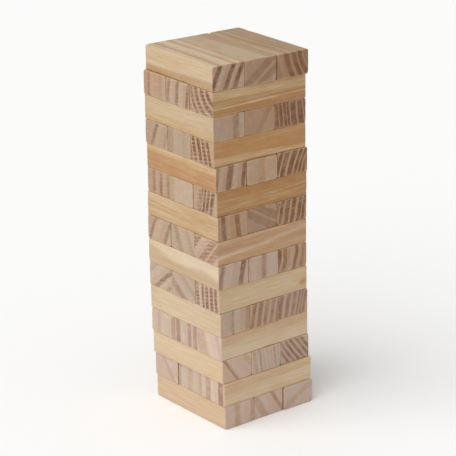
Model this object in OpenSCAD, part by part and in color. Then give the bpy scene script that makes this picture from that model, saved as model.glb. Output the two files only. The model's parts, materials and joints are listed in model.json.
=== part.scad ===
// Giant tumbling tower: loose timber blocks stacked three to a layer, every layer turned a
// quarter from the one below. Millimetres, +Z up, origin on the ground under the tower's middle.
// Blocks of an odd layer lie along Y and stand left, middle, right; blocks of an even layer lie
// along X and stand front, middle, back. Layer 1 is the bottom one.

/* [Block] */
// Length of a block
block_length = 150; // [90:1:240]
// Width of a block, a third of its length less the gap beside it
block_width = 49.6; // [29.6:0.1:79.6]
// Thickness of a block
block_thickness = 33; // [15:0.5:50]
// Radius of the four long edges, rounded before the stick is cut to length
long_edge_radius = 0.9; // [0.8:0.1:5]
// Radius of the edges round each sawn end, broken with sandpaper
end_edge_radius = 0.8; // [0.3:0.1:1]

/* [Tower] */
// Number of layers
layers = 15; // [3:1:18]
// Least gap between neighbouring blocks of a layer
side_gap = 0.3; // [0.1:0.1:1.5]
// Seat between two layers, where planed faces meet on their high spots
seat_gap = 0.1; // [0.05:0.05:0.3]
// How untidily the layers are stacked: 0 is a true prism
untidiness = 1; // [0:0.1:1]

/* [Hidden] */
ROWS = [-1, 0, 1];
SIDES_ACROSS_X = ["left", "middle", "right"];
SIDES_ACROSS_Y = ["front", "middle", "back"];
layer_pitch = block_thickness + seat_gap;

// Each layer as it was laid by hand, from the bottom up: shift along X, shift along Y, turn,
// and how much wider than the least gap its two gaps are.
LAID = [
    [4.7, -1.2, 0.3, 0.6], [3.2, -1.2, 0.2, 0.6], [0.7, -0.2, 0.8, 0], [-1.3, 0.3, 1.2, 0],
    [-1.8, -0.2, 0.9, 0.2], [-2.8, 0.3, 0.6, 0.1], [-3.3, -0.2, 0.6, 0.3], [-3.3, 0.3, 0.5, 0.4],
    [-2.8, 0.8, 0.5, 0], [-2.3, 0.8, 0, 0], [-2.3, 0.3, -0.6, 0.5], [-3.8, 1.3, -1.1, 0.1],
    [-3.8, 1.3, -1, 0.1], [-3.8, 1.3, -1.3, 0.5], [-1.8, -0.7, -2.3, 0.9]
];

// How far each block of a layer was pushed along its own length: first, middle and last.
// Away from the front is positive in an odd layer, to the left in an even one.
PUSHED = [
    [0, 0.6, -1.3], [0, -0.8, 0.5], [0.3, -0.5, 0.2], [0, -0.7, -0.4], [0, -0.8, 0],
    [-0.2, 0.4, -0.3], [0, -0.6, 0.3], [0.3, -0.5, 0], [0, 0.9, -0.2], [0, 0.7, -0.3],
    [0, -1.2, -0.3], [-0.2, -0.6, 0], [0, 0.5, -0.4], [0, 0.5, 0.7], [0, -0.7, -0.6]
];

// Layers whose middle block was laid closer to the left one: layer and how much closer, always
// less than the extra width of the layer's gaps.
CLOSER = [[1, 0.5], [11, 0.4], [15, 0.8]];

// Blocks whose long edges were sanded rounder than the rest: layer, row and radius.
ROUNDER = [[1, -1, 3], [1, 1, 3], [11, 0, 3], [11, 1, 2], [15, 1, 2.2]];

function is_odd(layer) = layer % 2 == 1;
function side(layer, row) = (is_odd(layer) ? SIDES_ACROSS_X : SIDES_ACROSS_Y)[row + 1];
function block_name(layer, row) = str("block_", layer < 10 ? "0" : "", layer, "_", side(layer, row));
function laid(layer) = untidiness * LAID[(layer - 1) % len(LAID)];
function pushed(layer, row) = untidiness * PUSHED[(layer - 1) % len(PUSHED)][row + 1];
function row_pitch(layer) = block_width + side_gap + laid(layer)[3];
function closer(layer) = untidiness * max([0, for (c = CLOSER) if (c[0] == layer) c[1]]);
function across(layer, row) = row * row_pitch(layer) - (row == 0 ? closer(layer) : 0);
function edge_radius(layer, row) =
    max([long_edge_radius, for (r = ROUNDER) if (r[0] == layer && r[1] == row) r[2]]);

// A rectangle round the origin with round corners
module round_rectangle(x, y, r) {
    square([x - 2 * r, y], center = true);
    square([x, y - 2 * r], center = true);
    for (sx = [-1, 1])
        for (sy = [-1, 1])
            translate([sx * (x / 2 - r), sy * (y / 2 - r)])
                circle(r, $fn = 64);
}

// A rounded rectangle drawn through the block along Z
module drawn_through(x, y, z, r) {
    linear_extrude(z, center = true)
        round_rectangle(x, y, r);
}

// One block lying along Y, centred on the origin, with its long edges rounded to the radius
module eased_block(r) {
    intersection() {
        rotate([90, 0, 0])
            drawn_through(block_width, block_thickness, block_length, r);
        drawn_through(block_width, block_length, block_thickness, end_edge_radius);
        rotate([0, 90, 0])
            drawn_through(block_thickness, block_length, block_width, end_edge_radius);
    }
}

// The block of one layer and row, in its place in the tower
module block(layer, row) {
    lie = laid(layer);
    color("burlywood")
        translate([lie[0], lie[1], (layer - 0.5) * layer_pitch - seat_gap / 2])
            rotate(lie[2] + (is_odd(layer) ? 0 : 90))
                translate([across(layer, row), pushed(layer, row), 0])
                    eased_block(edge_radius(layer, row));
}

for (layer = [1:layers])
    for (row = ROWS)
        block(layer, row);
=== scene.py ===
"""Giant tumbling tower: forty-five loose blocks of bare planed pine on a pale studio floor."""

import json
import math
from collections import namedtuple
from functools import cache
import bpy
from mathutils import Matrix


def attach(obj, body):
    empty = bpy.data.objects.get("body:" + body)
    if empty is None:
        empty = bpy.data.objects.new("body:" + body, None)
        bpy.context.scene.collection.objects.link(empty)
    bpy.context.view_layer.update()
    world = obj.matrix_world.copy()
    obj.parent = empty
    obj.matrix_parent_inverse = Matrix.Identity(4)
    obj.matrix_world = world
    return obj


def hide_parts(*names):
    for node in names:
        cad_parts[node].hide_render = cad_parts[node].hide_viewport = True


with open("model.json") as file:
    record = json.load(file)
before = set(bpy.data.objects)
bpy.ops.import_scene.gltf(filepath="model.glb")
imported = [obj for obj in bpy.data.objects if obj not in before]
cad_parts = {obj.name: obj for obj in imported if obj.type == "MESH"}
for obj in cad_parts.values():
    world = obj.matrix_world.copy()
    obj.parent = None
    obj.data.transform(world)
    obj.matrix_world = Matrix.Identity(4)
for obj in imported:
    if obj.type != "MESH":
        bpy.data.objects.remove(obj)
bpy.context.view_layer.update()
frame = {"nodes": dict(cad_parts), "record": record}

from types import SimpleNamespace

import bpy
import numpy as np
from mathutils import Matrix, Vector

MM = 0.001
TURN = 2 * math.pi

# Lengths here are in millimetres, and colours are linear red, green and blue.

# The radius of the edges round each sawn end.
END_EDGE = 0.8
# The size of a mesh cell on a sawn end and along the block, and how far from the end the long
# cells stop.
END_CELL, LONG_CELL, LONG_CELLS_STOP = 1.25, 4.0, 2.0

# How far wear reaches from a long edge and from an end.
EDGE_REACH, END_REACH = 4.0, 3.0
# Wear in patches: its shortest and longest waves, how high a wave must be to count, the most that
# counts, and how deep it goes. Bruises lie along the edges, chips at the corners, and nicks round
# the ends.
WEAR = {
    "bruise": (9, 40, 0.5, 1.5, 0.35),
    "chip": (6, 20, 0.1, 1.5, 0.55),
    "nick": (5, 25, 0.6, 1.0, 0.30),
}
# How far every long edge is worn, and how much of the wear shows in a block's length.
EVEN_WEAR, WEAR_OF_LENGTH = 0.05, 0.8
# How uneven the sawn ends and the planed faces are: shortest and longest waves, and depth.
END_UNEVEN = (14, 60, 0.06)
FACE_UNEVEN = (40, 160, 0.05)

# The widest that a year's slow darkening and its quick end get.
SLOW_RISE, QUICK_FALL = 2.6, 1.3
# The part of a year at which its late wood is full and has faded out, before and after its middle.
LATE_FULL, LATE_GONE = 0.25, 0.40
# Beyond the first and the last ring there is this much room.
FREE_ROOM = 9.0

# How one block's end shows its growth rings, measured from the end's middle and seen from outside.
# lean: degrees that the rings lean to the right of upright. pith: distance to the tree's centre,
# positive to the right. rings: each year's dark late wood, as its middle, half its width and how
# dark it is. saw: how deep the saw marks are. light: how much paler this block is than its kind, or
# browner below 0; partly the block's own tone and partly painted light, paler on the lower layers
# and browner on the upper ones as light from the floor would make them. warm: how much more orange
# it is, or how much cooler its ends are below 0. wave: how wavy its rings are.
Grain = namedtuple("Grain", "lean pith rings saw light warm wave", defaults=(0.1, 0.0, 0.0, 0.35))

GRAIN = {
    "block_15_left": Grain(
        24, 900, warm=-0.07, rings=((-18.4, 2.5, 1), (0.7, 2.6, 0.95), (14.1, 2.6, 0.9))
    ),
    "block_15_middle": Grain(
        52, 500, light=-0.23, warm=0.06, rings=((-1.5, 4.8, 0.6), (13, 4, 0.6))
    ),
    "block_15_right": Grain(
        -19, 100, light=-0.36, warm=0.12,
        rings=((-24.5, 2.5, 0.5), (-7.2, 3, 1), (4.6, 2.6, 1), (14, 3, 1), (22.5, 2, 0.6)),
    ),
    "block_14_back": Grain(
        0, 300, saw=0.5, light=-0.02, warm=0.05, rings=((-13.4, 2, 0.7), (12, 3, 0.3))
    ),
    "block_14_middle": Grain(
        7, 300, saw=0.5, light=-0.02, warm=-0.22,
        rings=((-19.5, 2, 0.7), (-1, 2.4, 0.75), (20.5, 2, 0.9)),
    ),
    "block_14_front": Grain(
        -30, 36, saw=0.9, warm=-0.05,
        rings=((-25, 2, 0.6), (-16, 2.2, 0.75), (-6, 2.4, 0.9), (6.5, 2.7, 1), (17.5, 2.7, 0.95)),
    ),
    "block_13_left": Grain(0, 500, light=-0.05, warm=-0.07, rings=((10.5, 4.3, 0.62),)),
    "block_13_middle": Grain(32, 500, light=-0.24, warm=0.14, rings=((4.7, 3.2, 0.5),)),
    "block_13_right": Grain(
        -6, 250, light=-0.27, warm=0.1,
        rings=(
            (-23.5, 2.6, 1), (-16.3, 2.4, 0.95), (-9.6, 2.3, 1), (-4.6, 1.6, 1),
            (3.8, 3.7, 1), (15.6, 3.6, 1), (24, 1.8, 0.8),
        ),
    ),
    "block_12_back": Grain(
        22, 400, saw=0.4, light=-0.06, warm=-0.15, rings=((-3.7, 2.4, 0.8), (20.5, 2, 0.5))
    ),
    "block_12_middle": Grain(
        0, 400, saw=0.3, light=-0.18, warm=-0.3,
        rings=((-21, 2.2, 0.5), (-16, 1.1, 0.5), (12, 5, 0.2)),
    ),
    "block_12_front": Grain(
        -12, 400, saw=0.8, light=0.02, warm=0.06,
        rings=((-24, 2.2, 0.8), (-15.8, 2.5, 1), (-5.5, 2.6, 1), (4.7, 2.5, 1), (13.6, 2.3, 0.95)),
    ),
    "block_11_left": Grain(
        8, 500, light=0.04, warm=0.06, rings=((-23.2, 1.8, 0.7), (-3.2, 4.2, 0.8), (19.6, 2.5, 1))
    ),
    "block_11_middle": Grain(0, 500, light=0.02, warm=0.08, rings=((-1.5, 4.8, 0.42),)),
    "block_11_right": Grain(
        20, 130, light=-0.02, warm=0.08,
        rings=(
            (-22.3, 2.6, 0.95), (-13.4, 3, 0.9), (-1.8, 3.5, 0.9),
            (8, 2.2, 0.95), (14.4, 1.8, 0.95), (20.4, 1.8, 0.85),
        ),
    ),
    "block_10_back": Grain(
        0, 400, saw=0.5, warm=0.02, rings=((-10.9, 2, 0.65), (4.7, 2.3, 0.7), (21, 2, 0.6))
    ),
    "block_10_middle": Grain(0, 400, saw=0.5, light=0.05, warm=-0.25, rings=((-20, 4, 0.45),)),
    "block_10_front": Grain(
        11, 400, saw=0.7, light=-0.05, warm=-0.15,
        rings=((-10.5, 4.4, 0.6), (-1.5, 1.6, 1), (5.5, 2, 1), (14, 2.4, 0.9)),
    ),
    "block_09_left": Grain(
        -5, 400, light=-0.09, warm=0.13, rings=((-15.2, 2.6, 0.8), (8, 3.1, 0.8))
    ),
    "block_09_middle": Grain(
        -61, 300, light=-0.17, warm=0.02, rings=((-3.9, 4.5, 0.55), (9.5, 4.5, 0.6))
    ),
    "block_09_right": Grain(
        10, 400, saw=0.35, light=-0.08, warm=0.08,
        rings=(
            (-25, 1.5, 0.7), (-19, 2.2, 0.95), (-9.2, 3, 0.8),
            (1.2, 2.5, 0.95), (12, 2.5, 1), (18.8, 1.7, 0.9),
        ),
    ),
    "block_08_back": Grain(
        25, 300, saw=0.5, light=0.02, warm=-0.09, rings=((-13, 2, 0.7), (16, 2.3, 0.7))
    ),
    "block_08_middle": Grain(
        -22, 300, saw=0.5, light=-0.06, warm=-0.3, rings=((-8.5, 3.8, 0.6), (14, 2, 0.45))
    ),
    "block_08_front": Grain(
        40, 300, saw=0.9, light=0.08, warm=0.05,
        rings=((-22.5, 4.5, 0.75), (2.2, 4.4, 0.7), (15.3, 4.4, 0.65)),
    ),
    "block_07_left": Grain(11, 400, light=0.14, rings=((-20, 3, 0.75), (13.5, 3.3, 0.9))),
    "block_07_middle": Grain(
        0, 400, light=0.12, warm=-0.02, rings=((-24.5, 1, 0.5), (0, 3.5, 0.65))
    ),
    "block_07_right": Grain(
        8, -60, warm=0.1, wave=0.8,
        rings=((-22.5, 2.8, 0.85), (-12.5, 2.6, 0.75), (6.2, 2.1, 0.85), (18.8, 2.4, 0.65)),
    ),
    "block_06_back": Grain(
        50, 400, saw=0.4, light=0.12, warm=-0.12,
        rings=((-19, 2, 0.4), (4.7, 2.7, 0.85), (20.7, 2.4, 0.6)),
    ),
    "block_06_middle": Grain(
        -51, 300, saw=0.4, light=-0.12, warm=-0.5,
        rings=((-11.8, 4.5, 0.7), (9.9, 3.4, 0.45), (24, 3, 0.4)),
    ),
    "block_06_front": Grain(
        -3, 500, saw=0.75, light=0.16, warm=0.04,
        rings=((-20.5, 2.2, 0.85), (-9, 1.9, 0.95), (-0.6, 2.4, 0.95), (9, 2, 1), (17.6, 2.1, 1)),
    ),
    "block_05_left": Grain(
        0, 500, light=0.1, rings=((-8, 1.1, 0.35), (-4.6, 0.9, 0.6), (20, 3, 0.55))
    ),
    "block_05_middle": Grain(
        10, 400, saw=0.3, light=0.05, warm=0.03,
        rings=(
            (-19.8, 2.2, 0.7), (-8.8, 2.5, 0.72), (1.6, 2.5, 0.65),
            (12.2, 2.3, 0.65), (22, 2.4, 0.65),
        ),
    ),
    "block_05_right": Grain(
        12, 400, light=0.06,
        rings=(
            (-22.5, 2.4, 0.7), (-10.6, 2.4, 0.7), (-0.2, 2.4, 0.65),
            (7.8, 1.7, 0.7), (12.9, 1.3, 0.7), (18.3, 1.8, 0.65),
        ),
    ),
    "block_04_back": Grain(
        0, 400, saw=0.2, light=0.25, warm=-0.2, rings=((-9, 2.6, 0.4), (21, 3, 0.6))
    ),
    "block_04_middle": Grain(
        -3, 500, saw=0.2, light=0.22, rings=((-17.6, 3.4, 0.7), (6.9, 3, 0.65), (18.6, 3.1, 0.7))
    ),
    "block_04_front": Grain(
        -17, 400, saw=0.3, light=0.34, warm=0.06, rings=((-15.5, 8.6, 0.5), (19, 3, 0.35))
    ),
    "block_03_left": Grain(
        -37, 600, light=0.27, warm=0.16, rings=((-8.7, 1.4, 0.75), (19, 2.6, 0.4))
    ),
    "block_03_middle": Grain(
        -8, 500, saw=0.3, light=0.18, warm=-0.15,
        rings=(
            (-19.5, 1.6, 0.5), (-10, 1.1, 0.6), (-4, 1.2, 0.3), (2.5, 1.4, 0.35),
            (8, 1.2, 0.35), (14.2, 1.6, 0.55), (21, 1.5, 0.35),
        ),
    ),
    "block_03_right": Grain(
        -38, 500, light=0.12,
        rings=(
            (-18.2, 1.6, 0.75), (-11.3, 1.6, 0.75), (-4.2, 1.6, 0.75),
            (3, 1.6, 0.75), (10.7, 1.6, 0.75), (17.3, 1.6, 0.75),
        ),
    ),
    "block_02_back": Grain(-36, 300, saw=0.3, light=0.2, rings=((3.3, 2.8, 0.35),)),
    "block_02_middle": Grain(
        0, 500, saw=0.2, light=0.23, warm=-0.2,
        rings=((-22, 2, 0.55), (0.5, 4.5, 0.4), (22, 1.2, 0.5)),
    ),
    "block_02_front": Grain(
        0, 500, saw=0.3, light=0.33, warm=0.07, rings=((-10, 4.6, 0.65), (16.8, 4.8, 0.8))
    ),
    "block_01_left": Grain(0, 500, light=0.28, warm=0.08, rings=((-4.4, 4, 0.5), (22, 4, 0.5))),
    "block_01_middle": Grain(
        -31, 300, light=0.28, warm=0.11, rings=((-13, 4.2, 0.45), (12.3, 2, 0.65))
    ),
    "block_01_right": Grain(60, 400, light=0.25, warm=0.03, rings=((-1, 3.6, 0.35),)),
}

# The honey-coloured streaks of the long faces that show most: how much they rise along the block,
# then pairs of height on the face, from its middle, and how honey-coloured the wood is there.
STREAKS = {
    "block_15_left": (
        3,
        ((-16, 0.6), (-10, 0.6), (-6, 0.2), (2, 0.3), (6, 0.05), (11, 0.3), (16, 0.2)),
    ),
    "block_14_front": (
        1,
        (
            (-16, 1.6), (-9, 1.4), (-7, 1.5), (-5.2, -1.4),
            (-3.6, 1.5), (-1, 0.3), (8, 0), (16, -0.1),
        ),
    ),
    "block_13_left": (1, ((-16, 1), (-10, 0.7), (-3, 0.4), (10, 0.2), (16, 0.5))),
    "block_12_front": (
        -6,
        (
            (-16, 0.45), (-11, 0.05), (-8, 0.35), (-5.5, 1.45), (-2, 1.05),
            (0, 1.65), (3, 1.05), (6, 1.65), (10, 1.15), (16, 0.95),
        ),
    ),
    "block_11_left": (
        4,
        (
            (-16, 0.8), (-11, 1.2), (-8, 0.4), (-5, 1), (-1, 0.3),
            (3, 1), (6, 0.5), (9, 0.1), (13, -0.4), (16, 0),
        ),
    ),
    "block_10_front": (
        -2,
        ((-16, 2.05), (-13.5, 1.75), (-11, 0.85), (4, 0.75), (8, 1.45), (11, 1.85), (16, 1.45)),
    ),
    "block_09_left": (
        8,
        (
            (-16, -0.1), (-11, -0.5), (-4, -0.3), (0.8, -0.5),
            (1.6, 0.9), (2.4, -0.6), (8, -0.5), (16, -1),
        ),
    ),
    "block_08_front": (
        12,
        ((-16, 0.8), (-9, 1.4), (-3, 0.9), (-0.8, -1.2), (1.5, -0.8), (4.5, 0.9), (16, 0.7)),
    ),
    "block_07_left": (
        4,
        ((-16, 0.35), (-12, 0.05), (-9, 0.55), (-4, 0.15), (0, -0.35), (10, -0.75), (16, -0.45)),
    ),
    "block_06_front": (-2, ((-16, 0.75), (-4, 0.45), (10, 0.65), (13, 0.95), (16, 1.25))),
    "block_05_left": (0, ((-16, 0.05), (0, 0.15), (16, 0))),
    "block_04_front": (1, ((-16, -1), (-8, -1.1), (-1, -0.3), (6, 0.6), (16, 1))),
    "block_03_left": (1, ((-16, 0.4), (-9, 0.25), (0, 0), (16, 0.05))),
    "block_02_front": (3, ((-16, 0.3), (-3, -0.6), (6, 0.5), (16, 0.3))),
    "block_01_left": (2, ((-16, 0.45), (0, 0.35), (16, 0.4))),
}

# The same across the tower's top, from each block's left to its right.
TOP_STREAKS = {
    "block_15_left": (
        (-25, -0.45), (-17, -0.95), (-13, -0.15), (-10, -0.95), (-4, -0.75),
        (4, -1.05), (8, -0.15), (11, -0.95), (18, -0.65), (25, 0.05),
    ),
    "block_15_middle": (
        (-25, -0.45), (-18, -1.25), (-8, -0.95), (2, -1.15),
        (7, -0.45), (12, -0.75), (19, -0.05), (25, -0.75),
    ),
    "block_15_right": (
        (-25, -1.15), (-14, -0.35), (-9, -0.95), (-4, -0.55), (-1, -1.15),
        (7, -0.15), (11, -1.05), (17, -0.35), (25, -0.75),
    ),
}

# Random streaks, for the other faces: how far they go from the middle, and how many there are.
SIDE_STREAKS, FLAT_STREAKS = (16, 9), (26, 11)

# Knots in the side faces: which side across the block, how far along it, how high and how big.
KNOTS = {
    "block_06_front": (1, 68, -5, 5),
    "block_13_right": (1, -38, -6, 4),
    "block_10_back": (-1, -24, 3, 5),
    "block_05_right": (1, 22, 4, 6),
    "block_02_back": (-1, 35, 2, 5),
}

# Bare pine, sorted by colour: the palest and the most honey-coloured of a board's face, and its
# sawn end.
TONES = {
    "pine_pale": ((0.555, 0.43, 0.28), (0.50, 0.34, 0.165), (0.44, 0.305, 0.22)),
    "pine_honey": ((0.50, 0.345, 0.18), (0.425, 0.22, 0.08), (0.43, 0.29, 0.195)),
    "pine_rosy": ((0.52, 0.355, 0.225), (0.46, 0.27, 0.135), (0.435, 0.305, 0.225)),
}

# Tints of the planed faces.
DEEP_HONEY = (0.36, 0.17, 0.055)
SAPWOOD = (0.64, 0.52, 0.36)
CREAM = (0.60, 0.47, 0.31)
FIBRE_BROWN = (0.34, 0.18, 0.085)
RESIN = (0.22, 0.11, 0.045)
KNOT, KNOT_HEART = (0.47, 0.20, 0.06), (0.22, 0.09, 0.03)

# Tints of the sawn ends.
LATE_END = (0.165, 0.068, 0.032)
EARLY_FLANK = (0.34, 0.175, 0.090)
OLIVE_END = (0.40, 0.325, 0.235)
BLUSH_END = (0.52, 0.30, 0.165)
CREAM_END = (0.56, 0.44, 0.33)
DUSTY_END = (0.60, 0.49, 0.38)
SCRATCH = (0.66, 0.52, 0.40)

# Tints of a whole block, partly painted light and shade down the tower, and of its rubbed edges,
# partly a painted highlight.
STAIN = (0.33, 0.21, 0.12)
BROWNER_AND_SHADED = (0.10, 0.055, 0.035)
PALER_AND_LIT_FACE, PALER_AND_LIT_END = (0.85, 0.77, 0.60), (0.84, 0.74, 0.68)
WARMER = (0.55, 0.24, 0.07)
COOLER_END = (0.47, 0.42, 0.31)
# Rubbed edges: paler wear, and in part a painted highlight along the edges.
RUBBED_AND_HIGHLIGHT = (0.72, 0.46, 0.27)

# Noise in the wood: its width across the grain as a share of its length along it, its scale, its
# detail and its roughness.
PATTERNS = {
    "vein": (0.04, 0.25, 3.0, 0.6),
    "fibre": (0.04, 0.65, 4.0, 0.65),
    "hair": (0.04, 3.2, 3.0, 0.7),
    "duct": (0.07, 1.9, 1.0, 0.5),
    "speck": (0.2, 2.2, 3.0, 0.7),
    "grit": (0.3, 1.0, 3.0, 0.65),
    "cloud": (0.3, 0.03, 3.0, 0.6),
    "stain": (0.16, 0.09, 3.0, 0.55),
    "mottle": (0.35, 0.13, 4.0, 0.6),
    "blush": (0.3, 0.055, 2.0, 0.5),
    "sawing": (1.0, 0.17, 3.0, 0.55),
}

# Saw marks: how far apart they are, how steeply they cross the end, and how much they wander.
SAW_PITCH, SAW_SLANT, SAW_WANDER = 5.2, -0.22, 5.0


# ---------------------------------------------------------------- the blocks in the frame


def cad_points(name):
    """The vertices of a block's CAD node, in millimetres."""
    return np.array([v.co for v in frame["nodes"][name].data.vertices], float) / MM


def widest_side(name):
    """The widest upright face of a block's CAD node, which is a long one."""
    sides = [p for p in frame["nodes"][name].data.polygons if abs(p.normal.z) < 0.01]
    return max(sides, key=lambda p: p.area)


def lie_of(name):
    """A block's middle and its turn about Z. Its seen end is on its own -Y side."""
    points = cad_points(name)
    normal = widest_side(name).normal
    along = (-normal.y, normal.x)
    if along[0] + along[1] < 0:
        along = (-along[0], -along[1])
    return (points.min(0) + points.max(0)) / 2, math.atan2(-along[0], along[1])


def half_sizes(name):
    """Half of a block's width, length and thickness, to a hundredth of a millimetre."""
    middle, turn = lie_of(name)
    x, y, z = (cad_points(name) - middle).T
    across = x * math.cos(turn) + y * math.sin(turn)
    along = y * math.cos(turn) - x * math.sin(turn)
    return [round(float(np.abs(v).max()), 2) for v in (across, along, z)]


def long_edge_radius(name):
    """The radius of a block's long edges, from the height of the flat between them."""
    points = cad_points(name)
    heights = [points[i][2] for i in widest_side(name).vertices]
    return round(HALF_THICKNESS - (max(heights) - min(heights)) / 2, 2)


HALF_WIDTH, HALF_LENGTH, HALF_THICKNESS = half_sizes("block_01_middle")


# ---------------------------------------------------------------- the shape of a block


def grid_lines(half, rounds):
    """Lines across a face: at these depths over each rounded edge, and evenly spaced between."""
    inner = half - rounds[-1]
    count = max(2, round(2 * inner / END_CELL))
    middle = np.linspace(-inner, inner, count + 1)
    edge = half - np.array(rounds[:-1])
    return np.concatenate([-edge, middle, edge[::-1]])


def round_corners(x, z, radius):
    """Moves the points of a rectangle's corners onto the long edges' radius."""
    centre_x, centre_z = HALF_WIDTH - radius, HALF_THICKNESS - radius
    over_x, over_z = np.abs(x) - centre_x, np.abs(z) - centre_z
    corner = (over_x > 0) & (over_z > 0)
    longest = np.maximum(over_x, over_z)
    scale = np.where(corner, longest / np.maximum(np.hypot(over_x, over_z), 1e-9), 1.0)
    x = np.where(corner, np.sign(x) * (centre_x + over_x * scale), x)
    z = np.where(corner, np.sign(z) * (centre_z + over_z * scale), z)
    return x, z


def outline(nx, nz):
    """The way once round a grid of nx by nz lines, as pairs of line numbers."""
    rim = [(i, 0) for i in range(nx)] + [(nx - 1, j) for j in range(1, nz)]
    rim += [(i, nz - 1) for i in range(nx - 2, -1, -1)] + [(0, j) for j in range(nz - 2, 0, -1)]
    return np.array(rim)


def end_points(lines_x, lines_z, end, radius):
    """A sawn end: flat, and falling away over the rounded edge round it."""
    gx, gz = np.meshgrid(lines_x, lines_z, indexing="ij")
    inset = np.minimum(HALF_WIDTH - np.abs(gx), HALF_THICKNESS - np.abs(gz))
    fall = END_EDGE - np.sqrt(np.maximum(END_EDGE**2 - np.maximum(END_EDGE - inset, 0) ** 2, 0))
    x, z = round_corners(gx, gz, radius)
    return np.stack([x, end * (HALF_LENGTH - fall), z], -1).reshape(-1, 3)


def end_faces(start, nx, nz, flip):
    """The faces of a sawn end whose points begin at start."""
    faces = []
    for i in range(nx - 1):
        for j in range(nz - 1):
            quad = [start + i * nz + j, start + (i + 1) * nz + j]
            quad += [start + (i + 1) * nz + j + 1, start + i * nz + j + 1]
            faces.append(quad[::-1] if flip else quad)
    return faces


def loop_points(lines_x, lines_z, rim, inset, y, radius):
    """One loop round the block at y, drawn in by inset where the end's rounded edge begins."""
    gx, gz = lines_x[rim[:, 0]].copy(), lines_z[rim[:, 1]].copy()
    width, height = HALF_WIDTH - inset, HALF_THICKNESS - inset
    gx[rim[:, 0] == 0], gx[rim[:, 0] == len(lines_x) - 1] = -width, width
    gz[rim[:, 1] == 0], gz[rim[:, 1] == len(lines_z) - 1] = -height, height
    x, z = round_corners(gx, gz, radius)
    return np.stack([x, np.full(len(x), y), z], -1)


def loops_along():
    """The loops from one end to the other: how far each is drawn in, and where it lies."""
    angles = np.radians([0, 15, 30])
    near = [
        (END_EDGE * (1 - math.cos(a)), HALF_LENGTH - END_EDGE * (1 - math.sin(a))) for a in angles
    ]
    count = round(2 * HALF_LENGTH / LONG_CELL) + 1
    straight = np.linspace(-1, 1, count) * (HALF_LENGTH - LONG_CELLS_STOP)
    return [(inset, -y) for inset, y in reversed(near)] + [(0.0, y) for y in straight] + near


@cache
def block_grid(radius):
    """The points and faces of a block that lies along Y, for one radius of its long edges."""
    eighth = END_EDGE * (1 - math.cos(TURN / 8))
    rounds = [eighth, 0.5, END_EDGE] + ([1.4] if radius > 1.8 else []) + [radius]
    lines_x, lines_z = grid_lines(HALF_WIDTH, rounds), grid_lines(HALF_THICKNESS, rounds)
    nx, nz = len(lines_x), len(lines_z)
    rim = outline(nx, nz)
    points = [end_points(lines_x, lines_z, end, radius) for end in (-1, 1)]
    points += [loop_points(lines_x, lines_z, rim, inset, y, radius) for inset, y in loops_along()]

    faces = end_faces(0, nx, nz, False) + end_faces(nx * nz, nx, nz, True)
    on_rim = rim[:, 0] * nz + rim[:, 1]
    around = np.arange(len(rim))
    between = [2 * nx * nz + k * len(rim) + around for k in range(len(points) - 2)]
    rows = [on_rim, *between, nx * nz + on_rim]
    for a, b in zip(rows[:-1], rows[1:]):
        after = np.roll(around, -1)
        faces.extend(np.stack([a, b, b[after], a[after]], -1).tolist())
    return np.concatenate(points), np.array(faces, np.int32)


def ripple(points, rng, shortest, longest, count=7):
    """A smooth random field over points, about -1 to 1, made of a few long waves."""
    total = np.zeros(len(points))
    for _ in range(count):
        direction = rng.normal(size=3)
        direction *= TURN / rng.uniform(shortest, longest) / np.linalg.norm(direction)
        total += np.sin(points @ direction + rng.uniform(0, TURN))
    return total / math.sqrt(count)


def patches(kind, points, rng):
    """How deep one kind of wear is at each point."""
    shortest, longest, low, most, depth = WEAR[kind]
    return np.clip(ripple(points, rng, shortest, longest) - low, 0, most) * depth


def unevenness(points, rng, shortest, longest, depth):
    """How far a face that isn't quite flat lies below its highest spots."""
    return depth * (1 + ripple(points, rng, shortest, longest)).clip(0, 2)


def worn(points, rng):
    """The block after handling: dents along its edges and blunted corners, always inwards."""
    out = points.copy()
    across, along, high = np.sign(points).T
    over_x = np.abs(points[:, 0]) - (HALF_WIDTH - EDGE_REACH)
    over_y = np.abs(points[:, 1]) - (HALF_LENGTH - END_REACH)
    over_z = np.abs(points[:, 2]) - (HALF_THICKNESS - EDGE_REACH)
    edge = np.clip(np.minimum(over_x, over_z) / EDGE_REACH, 0, 1)
    near_end = np.clip(over_y / END_REACH, 0, 1)
    rim = near_end * np.clip(np.maximum(over_x, over_z) / EDGE_REACH, 0, 1)
    depth = edge * (EVEN_WEAR + patches("bruise", points, rng))
    depth += edge * near_end * patches("chip", points, rng)
    depth += rim * patches("nick", points, rng)
    out[:, 0] -= across * depth * (over_x > 0)
    out[:, 1] -= along * depth * (over_y > 0) * WEAR_OF_LENGTH
    out[:, 2] -= high * depth * (over_z > 0)
    # the sawn ends aren't quite flat, and the planed faces have moved a little in drying
    on_end = over_y > END_REACH - 1.0
    out[:, 1] -= along * on_end * unevenness(points, rng, *END_UNEVEN)
    sink = unevenness(points, rng, *FACE_UNEVEN)
    out[:, 0] -= across * sink * (over_x > EDGE_REACH - 0.2)
    out[:, 2] -= high * sink * (over_z > EDGE_REACH - 0.2)
    return out


# ---------------------------------------------------------------- the grain in a block


def growth_steps(rings):
    """Where growth passes each stage of a year: places outwards, and the years grown by then.

    A whole number of years is the middle of late wood.
    """
    places, years = [], []
    for k, (middle, half, _) in enumerate(rings):
        inner, outer = middle - half, middle + half
        room_in = inner - (rings[k - 1][0] + rings[k - 1][1]) if k else FREE_ROOM
        room_out = rings[k + 1][0] - rings[k + 1][1] - outer if k + 1 < len(rings) else FREE_ROOM
        rise, fall = min(SLOW_RISE, 0.55 * room_in), min(QUICK_FALL, 0.4 * room_out)
        places += [inner - rise, inner, outer, outer + fall]
        years += [k - LATE_GONE, k - LATE_FULL, k + LATE_FULL, k + LATE_GONE]
    return places, years


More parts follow.
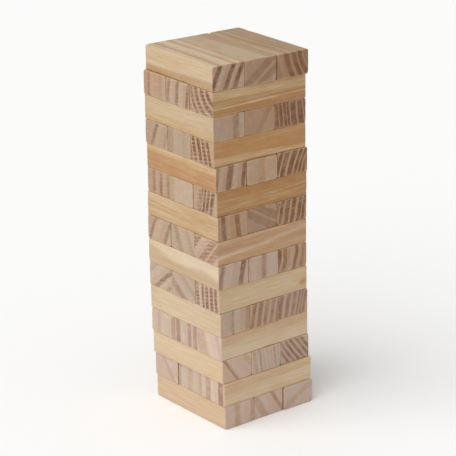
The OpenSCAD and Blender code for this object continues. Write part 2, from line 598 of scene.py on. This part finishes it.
def ring_field(points, grain, rng):
    """How many years of growth lie inside each point, and how dark its late wood is."""
    lean = math.radians(grain.lean)
    pith = grain.pith * np.array([math.cos(lean), -math.sin(lean)])
    # away from the seen end, the tree's centre tilts and sways a little, as a tree does
    along = points[:, 1] + HALF_LENGTH
    tilt = rng.normal(0, 0.012, 2)
    sway = [
        rng.uniform(0.2, 0.8) * np.sin(along / rng.uniform(18, 34) + rng.uniform(0, 6))
        for _ in (0, 1)
    ]
    fade = np.clip(along / 20.0, 0, 1)
    x = points[:, 0] - pith[0] - tilt[0] * along - sway[0] * fade
    z = points[:, 2] - pith[1] - tilt[1] * along - sway[1] * fade
    wave = grain.wave * ripple(points * np.array([1, 0.15, 1]), rng, 12, 40)
    outward = np.hypot(x, z) - abs(grain.pith) + wave
    way = -1 if grain.pith > 0 else 1
    rings = sorted((way * middle, half, dark) for middle, half, dark in grain.rings)
    darkness = np.interp(outward, [r[0] for r in rings], [r[2] for r in rings])
    return np.interp(outward, *growth_steps(rings)), darkness


def knot_distance(name, points):
    """How far each point is from the block's knot, as a share of the knot's size."""
    nowhere_near = 9.0
    if name not in KNOTS:
        return np.full(len(points), nowhere_near)
    side, along, height, size = KNOTS[name]
    away = np.hypot((points[:, 1] - along) / 1.4, points[:, 2] - height) / size
    return away + nowhere_near * (points[:, 0] * side < 0.6 * HALF_WIDTH)


def round_the_knot(name, points):
    """How far the streaks move up or down to pass round the block's knot."""
    if name not in KNOTS:
        return 0.0
    _, _, height, size = KNOTS[name]
    close = np.exp(-(knot_distance(name, points) ** 2) / 3.0)
    return np.sign(points[:, 2] - height) * 0.7 * size * close


def random_streaks(half, count, rng):
    """Streaks for a face that has none of its own."""
    return tuple(zip(np.linspace(-half, half, count), rng.uniform(0, 1, count)))


def streak_field(name, points, rng):
    """How honey-coloured the wood is at each point, from 0 to 1: long streaks across each face."""
    stops, rise = random_streaks(*SIDE_STREAKS, rng), rng.uniform(-5, 5)
    rise, stops = STREAKS.get(name, (rise, stops))
    wave = 0.6 * ripple(points * np.array([0, 1, 0]), rng, 60, 160, 3)
    level = points[:, 2] - rise * points[:, 1] / (2 * HALF_LENGTH) + wave
    beside = np.interp(level - round_the_knot(name, points), *zip(*stops))
    stops = random_streaks(*FLAT_STREAKS, rng)
    slant = rng.uniform(-3, 3) * points[:, 1] / HALF_LENGTH
    above = np.interp(points[:, 0] + slant + wave, *zip(*TOP_STREAKS.get(name, stops)))
    on_side = np.abs(points[:, 0]) - HALF_WIDTH > np.abs(points[:, 2]) - HALF_THICKNESS
    return np.where(on_side, beside, above)


def sawn_part(points):
    """1 on a sawn end and 0 on a planed face, with a soft step over the edge between them."""
    t = np.clip((np.abs(points[:, 1]) - (HALF_LENGTH - 0.75)) / 0.55, 0.0, 1.0)
    return t * t * (3.0 - 2.0 * t)


def rubbing(points):
    """How much each point's edge is rubbed paler, partly wear and partly a painted highlight: most
    round the sawn ends.
    """
    reach = 1.5
    halves = np.array([HALF_WIDTH, HALF_LENGTH, HALF_THICKNESS])
    x, y, z = np.clip((np.abs(points) - halves + reach) / reach, 0, 1).T
    return np.maximum(0.4 * np.minimum(x, z), np.minimum(np.maximum(0.4 * x, z), y))


# ---------------------------------------------------------------- the blocks


def set_attribute(mesh, name, values):
    """Gives each vertex a number, or three of them."""
    one = values.ndim == 1
    attribute = mesh.attributes.new(name, "FLOAT" if one else "FLOAT_VECTOR", "POINT")
    attribute.data.foreach_set("value" if one else "vector", values.astype(np.float32).ravel())


def make_mesh(name, points, faces):
    """A smooth mesh of four-sided faces, from points in millimetres."""
    mesh = bpy.data.meshes.new(name)
    mesh.vertices.add(len(points))
    mesh.vertices.foreach_set("co", (points * MM).astype(np.float32).ravel())
    mesh.loops.add(faces.size)
    mesh.loops.foreach_set("vertex_index", faces.ravel())
    mesh.polygons.add(len(faces))
    mesh.polygons.foreach_set("loop_start", np.arange(0, faces.size, 4, dtype=np.int32))
    mesh.polygons.foreach_set("use_smooth", np.ones(len(faces), bool))
    mesh.update(calc_edges=True)
    return mesh


def lay_grain(mesh, name, points, rng):
    """Gives the mesh what the pine material reads: each point's place in the wood, and its look."""
    grain = GRAIN[name]
    count = len(points)
    years, dark = ring_field(points, grain, rng)
    elsewhere_in_the_noise = rng.uniform(-500, 500, 3)
    # mark holds the sawn end, the rubbed edges with their painted highlight, and the saw marks.
    mark = [sawn_part(points), rubbing(points), np.full(count, grain.saw)]
    # look holds ring darkness, paleness that is partly painted light, and warmth.
    look = [dark, np.full(count, grain.light), np.full(count, grain.warm)]
    set_attribute(mesh, "wood_mm", points + elsewhere_in_the_noise)
    set_attribute(mesh, "ring", years)
    set_attribute(mesh, "streak", streak_field(name, points, rng))
    set_attribute(mesh, "knot", knot_distance(name, points))
    set_attribute(mesh, "mark", np.stack(mark, -1))
    set_attribute(mesh, "look", np.stack(look, -1))


def make_block(name, material, rng):
    """One block of the tower, with its own wear and grain, in the place of its CAD node."""
    points, faces = block_grid(long_edge_radius(name))
    mesh = make_mesh("wood_" + name, worn(points, rng), faces)
    lay_grain(mesh, name, points, rng)
    mesh.materials.append(material)
    block = bpy.data.objects.new("wood_" + name, mesh)
    bpy.context.scene.collection.objects.link(block)
    middle, turn = lie_of(name)
    block.matrix_world = Matrix.Translation(Vector(middle) * MM) @ Matrix.Rotation(turn, 4, "Z")
    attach(block, name)
    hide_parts(name)


def make_tower():
    """All the blocks, each in the wood that the record names and with its own random numbers."""
    woods = {name: pine(name, *colours) for name, colours in TONES.items()}
    slots = {part["node"]: part["material_slot"] for part in frame["record"]["subparts"]}
    for number, name in enumerate(sorted(GRAIN)):
        make_block(name, woods[slots[name]], np.random.default_rng(1000 + number))


# ---------------------------------------------------------------- materials


class Nodes:
    """Short words for building a node tree."""

    def __init__(self, tree):
        self.tree = tree

    def new(self, kind, **settings):
        """A node with its settings."""
        node = self.tree.nodes.new(kind)
        for key, value in settings.items():
            setattr(node, key, value)
        return node

    def put(self, socket, value):
        """Links another node's output to a socket, or sets a plain value there."""
        if isinstance(value, bpy.types.NodeSocket):
            self.tree.links.new(value, socket)
        else:
            socket.default_value = value

    def attribute(self, name, output="Vector"):
        node = self.new("ShaderNodeAttribute", attribute_type="GEOMETRY", attribute_name=name)
        return node.outputs[output]

    def math(self, operation, *values):
        node = self.new("ShaderNodeMath", operation=operation)
        for socket, value in zip(node.inputs, values):
            self.put(socket, value)
        return node.outputs[0]

    def plus(self, a, b):
        return self.math("ADD", a, b)

    def minus(self, a, b):
        return self.math("SUBTRACT", a, b)

    def times(self, a, b):
        return self.math("MULTIPLY", a, b)

    def above_zero(self, value):
        return self.math("MAXIMUM", value, 0.0)

    def step(self, value, low, high, to_low=0.0, to_high=1.0):
        """A soft step from to_low to to_high, as the value goes from low to high."""
        node = self.new("ShaderNodeMapRange", interpolation_type="SMOOTHSTEP")
        for socket, setting in zip(node.inputs, (value, low, high, to_low, to_high)):
            self.put(socket, setting)
        return node.outputs[0]

    def parts(self, vector):
        node = self.new("ShaderNodeSeparateXYZ")
        self.put(node.inputs[0], vector)
        return node.outputs

    def noise(self, place, along, scale, detail, rough):
        """Noise that is drawn out along the block's length."""
        stretch = self.new("ShaderNodeVectorMath", operation="MULTIPLY")
        self.put(stretch.inputs[0], place)
        self.put(stretch.inputs[1], (1.0, along, 1.0))
        node = self.new("ShaderNodeTexNoise")
        self.put(node.inputs["Vector"], stretch.outputs[0])
        for key, value in {"Scale": scale, "Detail": detail, "Roughness": rough}.items():
            self.put(node.inputs[key], value)
        return node.outputs["Fac"]

    def mix(self, factor, a, b):
        """Colour a where the factor is 0 and b where it is 1."""
        node = self.new("ShaderNodeMix", data_type="RGBA")
        self.put(node.inputs[0], factor)
        for socket, value in ((node.inputs[6], a), (node.inputs[7], b)):
            self.put(socket, (*value, 1.0) if isinstance(value, tuple) else value)
        return node.outputs[2]

    def glaze(self, colour, *tints):
        """Lays tints over a colour, each where its pattern goes from low to high."""
        for pattern, low, high, most, tint in tints:
            colour = self.mix(self.step(pattern, low, high, 0.0, most), colour, tint)
        return colour


def read_wood(n):
    """What the mesh says of each point of the wood, and the noise patterns in it."""
    wood = SimpleNamespace(place=n.attribute("wood_mm"), knot=n.attribute("knot", "Fac"))
    # the second part is the rubbed edges: paler wear, partly a painted highlight
    wood.sawn, wood.rub, wood.saw = n.parts(n.attribute("mark"))
    wood.dark, wood.light, wood.warm = n.parts(n.attribute("look"))
    for name, settings in PATTERNS.items():
        setattr(wood, name, n.noise(wood.place, *settings))
    return wood


def add_year_rings(n, wood):
    """Year rings: a slow rise to the dark late wood and a quick fall after it.

    The year runs from -0.5 to 0.5, and 0 is the middle of its late wood.
    """
    ring = n.plus(n.attribute("ring", "Fac"), n.times(n.minus(wood.speck, 0.5), 0.16))
    wood.year = n.minus(n.math("FRACT", n.plus(ring, 0.5)), 0.5)
    late = n.times(n.step(wood.year, -0.40, -0.20), n.step(wood.year, 0.36, 0.22))
    patchy = n.step(wood.stain, 0.32, 0.68, 1.15, 0.65)
    wood.late_on_end = n.times(late, n.times(wood.dark, patchy))
    wood.late_on_face = n.times(late, n.step(wood.dark, 0.0, 1.0, 0.15, 0.45))


def add_saw_marks(n, wood):
    """Saw marks: pale scratches across the end grain, in patches."""
    x, _, z = n.parts(wood.place)
    across = n.plus(z, n.times(x, SAW_SLANT))
    wander = n.times(n.minus(wood.cloud, 0.5), SAW_WANDER)
    wave = n.math("SINE", n.times(n.plus(across, wander), TURN / SAW_PITCH))
    scratch = n.times(n.step(wave, -0.3, 0.8), n.step(wood.sawing, 0.40, 0.60))
    wood.kerf = n.times(n.times(scratch, wood.saw), wood.sawn)


def face_colour(n, wood, pale, honey):
    """A planed face: honey streaks, fibres, resin ducts and the odd knot."""
    streak = n.plus(n.attribute("streak", "Fac"), n.times(n.minus(wood.vein, 0.5), 2.2))
    streak = n.plus(streak, n.times(n.minus(wood.fibre, 0.5), 3.2))
    colour = n.glaze(
        n.mix(n.step(streak, -0.1, 1.1), pale, honey),
        (streak, 0.8, 2.0, 0.55, DEEP_HONEY),
        (streak, 0.2, -1.0, 0.60, SAPWOOD),
        (wood.blush, 0.47, 0.70, 0.40, honey),
        (wood.mottle, 0.45, 0.75, 0.20, CREAM),
    )
    colour = n.glaze(
        n.mix(wood.late_on_face, colour, FIBRE_BROWN),
        (wood.hair, 0.50, 0.75, 0.35, FIBRE_BROWN),
        (wood.duct, 0.66, 0.74, 0.40, RESIN),
    )
    knot_rings = n.step(n.math("SINE", n.times(wood.knot, 16.0)), -1.0, 1.0, 0.6, 0.95)
    colour = n.mix(n.times(n.step(wood.knot, 1.3, 0.7), knot_rings), colour, KNOT)
    return n.glaze(colour, (wood.knot, 0.55, 0.15, 0.65, KNOT_HEART))


def end_colour(n, wood, end):
    """A sawn end: year rings on mottled wood, dusty and scratched by the saw."""
    colour = n.glaze(
        end,
        (wood.cloud, 0.40, 0.62, 0.65, OLIVE_END),
        (wood.blush, 0.48, 0.68, 0.50, BLUSH_END),
        (wood.mottle, 0.48, 0.70, 0.42, CREAM_END),
    )
    flank = n.times(n.step(wood.year, -0.46, -0.24), n.times(wood.dark, 0.45))
    colour = n.mix(flank, colour, EARLY_FLANK)
    late_tint = n.mix(n.step(wood.dark, 0.35, 0.9), EARLY_FLANK, LATE_END)
    colour = n.glaze(
        n.mix(wood.late_on_end, colour, late_tint),
        (wood.grit, 0.52, 0.78, 0.30, LATE_END),
        (wood.grit, 0.48, 0.25, 0.30, DUSTY_END),
        (wood.speck, 0.50, 0.85, 0.30, LATE_END),
    )
    colour = n.mix(n.times(wood.kerf, 0.55), colour, end)
    return n.mix(n.times(wood.kerf, 0.2), colour, SCRATCH)


def block_colour(n, wood, on_face, on_end):
    """Face and end; the block's paleness and warmth, partly painted light; rubbed edges, partly
    painted highlight.
    """
    colour = n.glaze(n.mix(wood.sawn, on_face, on_end), (wood.stain, 0.42, 0.75, 0.12, STAIN))
    # partly painted shade: blocks with light below 0, mostly the upper layers, turn browner
    colour = n.mix(n.above_zero(n.times(wood.light, -1.0)), colour, BROWNER_AND_SHADED)
    keep_rings = n.minus(1.0, n.times(n.times(wood.late_on_end, wood.sawn), 0.7))
    share = n.times(keep_rings, n.step(wood.sawn, 0.0, 1.0, 0.75, 1.0))
    # partly painted light: blocks with light above 0, mostly the lower layers, turn paler
    paler = n.mix(wood.sawn, PALER_AND_LIT_FACE, PALER_AND_LIT_END)
    colour = n.mix(n.times(n.above_zero(wood.light), share), colour, paler)
    colour = n.mix(n.above_zero(wood.warm), colour, WARMER)
    cool = n.times(n.above_zero(n.times(wood.warm, -1.0)), n.times(keep_rings, wood.sawn))
    colour = n.mix(cool, colour, COOLER_END)
    # rubbed edges: paler wear and, in part, a painted highlight
    return n.mix(n.times(wood.rub, n.step(wood.stain, 0.35, 0.65, 0.10, 0.65)), colour, RUBBED_AND_HIGHLIGHT)


def roughness(n, wood):
    """Planed faces have a low sheen, sawn ends none, and rubbed edges a little."""
    rough = n.plus(n.step(wood.fibre, 0.3, 0.8, 0.50, 0.64), n.times(wood.sawn, 0.16))
    return n.minus(rough, n.times(wood.rub, 0.08))


def relief(n, wood):
    """Fibres and raised late wood on the faces, pores and saw marks on the ends."""
    planed = n.plus(n.times(wood.fibre, 0.5), n.times(wood.hair, 0.35))
    height = n.times(n.minus(1.0, wood.sawn), planed)
    height = n.plus(height, n.times(wood.late_on_face, 0.35))
    height = n.plus(height, n.times(n.times(wood.speck, wood.sawn), 0.8))
    height = n.minus(height, n.times(wood.kerf, 0.6))
    bump = n.new("ShaderNodeBump")
    bump.inputs["Strength"].default_value = 0.7
    bump.inputs["Distance"].default_value = 0.2 * MM
    n.put(bump.inputs["Height"], height)
    return bump.outputs["Normal"]


def new_material(name):
    """A node material, with its tree and its Principled shader."""
    material = bpy.data.materials.new(name)
    material.use_nodes = True
    return material, material.node_tree, material.node_tree.nodes["Principled BSDF"]


def pine(name, pale, honey, end):
    """Bare planed pine with cross-cut ends."""
    material, tree, shader = new_material(name)
    n = Nodes(tree)
    wood = read_wood(n)
    add_year_rings(n, wood)
    add_saw_marks(n, wood)
    colour = block_colour(n, wood, face_colour(n, wood, pale, honey), end_colour(n, wood, end))
    n.put(shader.inputs["Base Color"], colour)
    n.put(shader.inputs["Roughness"], roughness(n, wood))
    n.put(shader.inputs["Normal"], relief(n, wood))
    shader.inputs["Specular IOR Level"].default_value = 0.22
    return material


def plain_floor():
    """A plain pale floor, with no gloss."""
    material, _, shader = new_material("floor")
    shader.inputs["Base Color"].default_value = (0.97, 0.97, 0.965, 1)
    shader.inputs["Roughness"].default_value = 0.9
    shader.inputs["Specular IOR Level"].default_value = 0.1
    return material


# ---------------------------------------------------------------- studio


def direction(azimuth, elevation):
    """The way towards a viewpoint or a light. Azimuth 0 is the front, and right is positive."""
    a, e = math.radians(azimuth), math.radians(elevation)
    return Vector((math.sin(a) * math.cos(e), -math.cos(a) * math.cos(e), math.sin(e)))


def make_floor():
    """A wide disc, a hair under the tower. Its rings' radii are in metres."""
    segments, rings = 96, (0.6, 2.0, 6.0, 14.0)
    angles = np.arange(segments) * TURN / segments
    points = [(0.0, 0.0, 0.0)]
    points += [(r * math.cos(a), r * math.sin(a), 0.0) for r in rings for a in angles]
    faces = [(0, 1 + i, 1 + (i + 1) % segments) for i in range(segments)]
    for k in range(len(rings) - 1):
        inner, outer = 1 + k * segments, 1 + (k + 1) * segments
        for i in range(segments):
            j = (i + 1) % segments
            faces.append((inner + i, outer + i, outer + j, inner + j))
    mesh = bpy.data.meshes.new("floor")
    mesh.from_pydata(points, [], faces)
    mesh.materials.append(plain_floor())
    floor = bpy.data.objects.new("floor", mesh)
    bpy.context.scene.collection.objects.link(floor)
    floor.location.z = -0.2 * MM


def make_world(strength):
    """An even white surround."""
    world = bpy.data.worlds.new("studio")
    world.use_nodes = True
    background = world.node_tree.nodes["Background"]
    background.inputs["Color"].default_value = (1.0, 1.0, 1.0, 1.0)
    background.inputs["Strength"].default_value = strength
    bpy.context.scene.world = world


def make_key(azimuth, elevation, strength, spread):
    """A very soft main light from the given direction, even over the whole floor."""
    lamp = bpy.data.lights.new("key", "SUN")
    lamp.energy = strength
    lamp.angle = math.radians(spread)
    key = bpy.data.objects.new("key", lamp)
    bpy.context.scene.collection.objects.link(key)
    key.rotation_euler = direction(azimuth, elevation).to_track_quat("Z", "Y").to_euler()


def make_camera(azimuth, elevation, roll, distance, aim, lens):
    """The viewpoint of the photograph, from the front left and a little above, with a long lens.

    Its distance and the point that it aims at are in metres, and the lens in millimetres.
    """
    away = direction(azimuth, elevation)
    level = (-away).cross(Vector((0, 0, 1))).normalized()
    upright = level.cross(-away)
    tilt = math.radians(roll)
    right = level * math.cos(tilt) + upright * math.sin(tilt)
    up = upright * math.cos(tilt) - level * math.sin(tilt)
    data = bpy.data.cameras.new("camera")
    data.sensor_width = 36.0
    data.lens = lens
    data.clip_end = 60.0
    camera = bpy.data.objects.new("camera", data)
    bpy.context.scene.collection.objects.link(camera)
    axes = Matrix((right, up, away)).transposed().to_4x4()
    camera.matrix_world = Matrix.Translation(Vector(aim) + away * distance) @ axes
    bpy.context.scene.camera = camera


make_tower()
make_floor()
make_world(strength=0.55)
make_key(azimuth=-84, elevation=45, strength=2.0, spread=70)
make_camera(
    azimuth=-38,
    elevation=19.3,
    roll=-0.7,
    distance=2.705,
    aim=(-0.0013, 0.0007, 0.2475),
    lens=160.4,
)
bpy.context.scene.view_settings.view_transform = "Standard"
